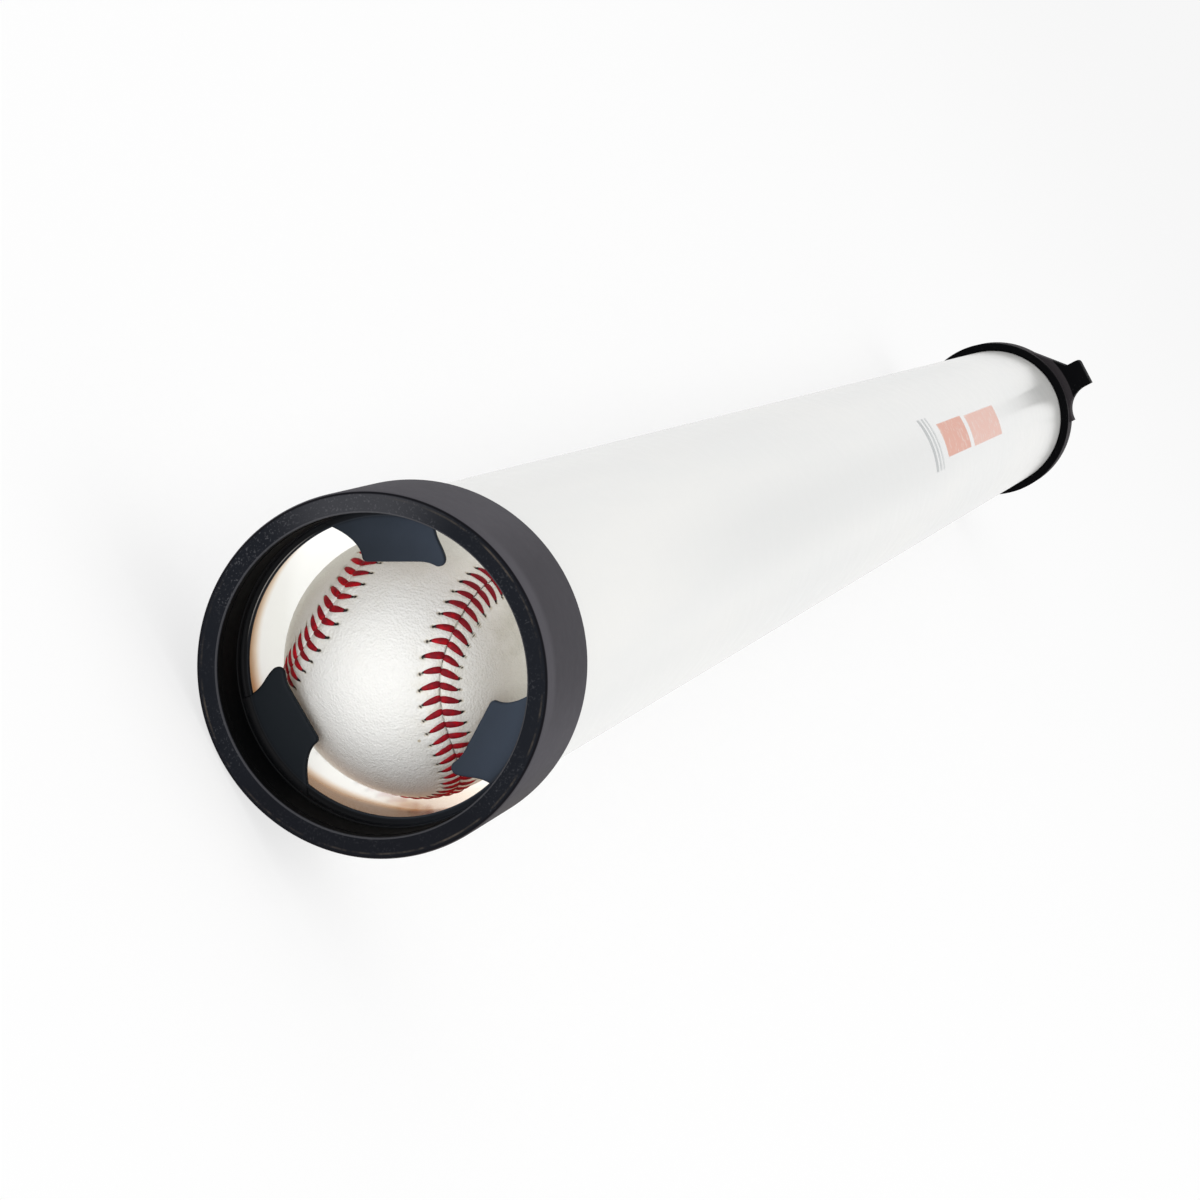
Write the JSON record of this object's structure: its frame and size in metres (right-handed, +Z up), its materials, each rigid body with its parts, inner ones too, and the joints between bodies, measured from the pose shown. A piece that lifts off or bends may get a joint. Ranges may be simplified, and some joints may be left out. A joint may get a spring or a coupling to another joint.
{
  "type": "baseball pickup tube",
  "caption": "Long translucent tube with a flapped catching collar at the mouth, a pull-off end cap with a thumb tab, and a stitched ball held inside.",
  "frame": {"origin": "on the ground under the middle of the tube, which lies on its two caps", "axes": "+Y along the tube from the mouth to the end cap, +Z up through the cap's pull tab, +X to the right seen from the mouth"},
  "size_m": [0.099, 1.2462, 0.116],
  "materials": {
    "frosted_tube": "frosted translucent, satin",
    "black_rubber": "matt moulded rubber with a fine pale wear",
    "flap_rubber": "smooth matt rubber",
    "ball_leather": "white grained leather",
    "wound_yarn": "wound grey yarn",
    "red_thread": "waxed red cotton thread",
    "print_ink": "thin matt ink on the tube"
  },
  "bodies": {
    "tube_body": {"tube": "frosted_tube", "pickup_collar": "black_rubber", "flap_ring": "flap_rubber"},
    "flap_body_1": {"flap_1": "flap_rubber"},
    "flap_body_2": {"flap_2": "flap_rubber"},
    "flap_body_3": {"flap_3": "flap_rubber"},
    "cap_body": {"end_cap": "black_rubber"},
    "ball_body": {"ball_cover_a": "ball_leather", "ball_cover_b": "ball_leather", "ball_core": "wound_yarn"}
  },
  "joints": [
    {"name": "flap_1_fold", "type": "hinge", "parent": "tube_body", "child": "flap_body_1", "pos_m": [0.03142, -0.60515, 0.07001], "axis": [0.5476, 0, -0.8368], "range_deg": [-25, 80], "stiffness_Nm_per_rad": 0.04},
    {"name": "flap_2_fold", "type": "hinge", "parent": "tube_body", "child": "flap_body_2", "pos_m": [0.0021, -0.60515, 0.01196], "axis": [-0.9984, 0, -0.0558], "range_deg": [-25, 80], "stiffness_Nm_per_rad": 0.04},
    {"name": "flap_3_fold", "type": "hinge", "parent": "tube_body", "child": "flap_body_3", "pos_m": [-0.03352, -0.60515, 0.06638], "axis": [0.4509, 0, 0.8926], "range_deg": [-25, 80], "stiffness_Nm_per_rad": 0.04},
    {"name": "ball_travel", "type": "slide", "parent": "tube_body", "child": "ball_body", "axis": [0, 1, 0], "range_m": [0, 1.1534]},
    {"name": "cap_pull", "type": "slide", "parent": "tube_body", "child": "cap_body", "axis": [0, 1, 0], "range_m": [0, 0.1]}
  ]
}
